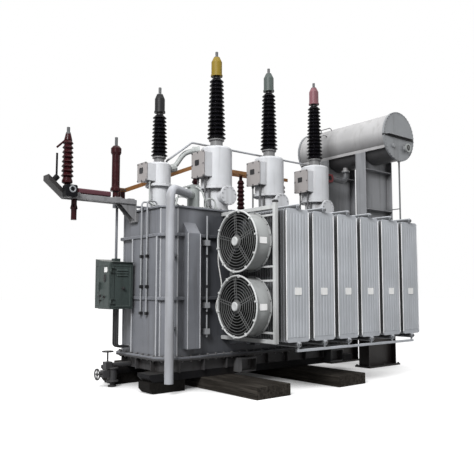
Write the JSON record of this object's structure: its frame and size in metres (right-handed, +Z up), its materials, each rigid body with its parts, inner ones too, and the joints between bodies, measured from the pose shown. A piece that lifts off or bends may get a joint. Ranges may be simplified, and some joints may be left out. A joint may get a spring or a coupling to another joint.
{
  "type": "power transformer",
  "caption": "Oil-filled power transformer with finned radiators, blowing fans, tall bushings on turrets, a raised conservator drum, a tap changer cabinet and timber sleepers.",
  "frame": {"origin": "on the ground at the middle of the outline's box, under the middle of the tank", "axes": "+X along the tank towards the conservator, -Y the front with the fans, +Z up"},
  "size_m": [7.392, 4.474, 5.906],
  "materials": {
    "black_paint": "black paint",
    "black_porcelain": "dark glaze",
    "cabinet_green": "dark grey-green paint",
    "cable_sheath": "pale flexible sheath",
    "dark_steel": "near-black paint",
    "fan_grey": "satin grey paint",
    "green_paint": "grey-green phase paint",
    "light_grey_paint": "satin light grey paint",
    "painted_bar": "orange-brown bar paint",
    "radiator_grey": "satin grey paint",
    "red_brown_porcelain": "red-brown glaze",
    "red_paint": "pink-red phase paint",
    "tank_grey": "satin mid grey paint",
    "timber": "weathered dark timber",
    "yellow_paint": "yellow phase paint"
  },
  "bodies": {
    "frame": {"arm_insulators": "red_brown_porcelain", "bracket_arm": "tank_grey", "breather_pipe": "tank_grey", "busbars": "painted_bar", "bushing_a": "black_porcelain", "bushing_b": "black_porcelain", "bushing_c": "black_porcelain", "cap_a": "yellow_paint", "cap_b": "green_paint", "cap_c": "red_paint", "conservator_front_end": "light_grey_paint", "conservator_rear_end": "light_grey_paint", "conservator_shell": "light_grey_paint", "drain_valve": "tank_grey", "drive_cabinet": "cabinet_green", "drive_shaft": "tank_grey", "fan_cables": "cable_sheath", "fan_frame": "fan_grey", "fan_guard_lower": "fan_grey", "fan_guard_upper": "fan_grey", "fan_motor_lower": "fan_grey", "fan_motor_upper": "fan_grey", "fan_shroud_lower": "fan_grey", "fan_shroud_upper": "fan_grey", "front_collectors": "tank_grey", "front_column": "tank_grey", "gas_relay_pipe": "tank_grey", "low_voltage_bushings": "red_brown_porcelain", "lower_tank": "tank_grey", "neutral_bushing": "black_porcelain", "neutral_cap": "black_paint", "neutral_turret": "light_grey_paint", "radiator_1": "radiator_grey", "radiator_2": "radiator_grey", "radiator_3": "radiator_grey", "radiator_4": "radiator_grey", "radiator_5": "radiator_grey", "radiator_6": "radiator_grey", "rear_collectors": "tank_grey", "rear_column": "tank_grey", "rear_radiators": "radiator_grey", "relief_pipe": "tank_grey", "skids": "dark_steel", "sleepers": "timber", "spark_gap": "dark_steel", "surge_arrester": "red_brown_porcelain", "tank_cover": "tank_grey", "tank_wall": "tank_grey", "tap_changer_head": "tank_grey", "terminal_cabinet": "cabinet_green", "tie_bars": "radiator_grey", "turret_a": "light_grey_paint", "turret_b": "light_grey_paint", "turret_c": "light_grey_paint", "vent_pipe": "tank_grey", "wall_conduits": "tank_grey"},
    "upper_impeller": {"fan_impeller_upper": "fan_grey"},
    "lower_impeller": {"fan_impeller_lower": "fan_grey"},
    "door": {"cabinet_door": "cabinet_green"}
  },
  "joints": [
    {"name": "upper_fan_spin", "type": "hinge", "parent": "frame", "child": "upper_impeller", "pos_m": [-1.1, -1.586, 2.355], "axis": [1, 0, 0], "continuous": true},
    {"name": "lower_fan_spin", "type": "hinge", "parent": "frame", "child": "lower_impeller", "pos_m": [-1.1, -1.586, 1.337], "axis": [1, 0, 0], "continuous": true},
    {"name": "door_hinge", "type": "hinge", "parent": "frame", "child": "door", "pos_m": [-2.615, 0.08, 1.665], "axis": [0, 0, 1], "range_deg": [0, 110]}
  ]
}
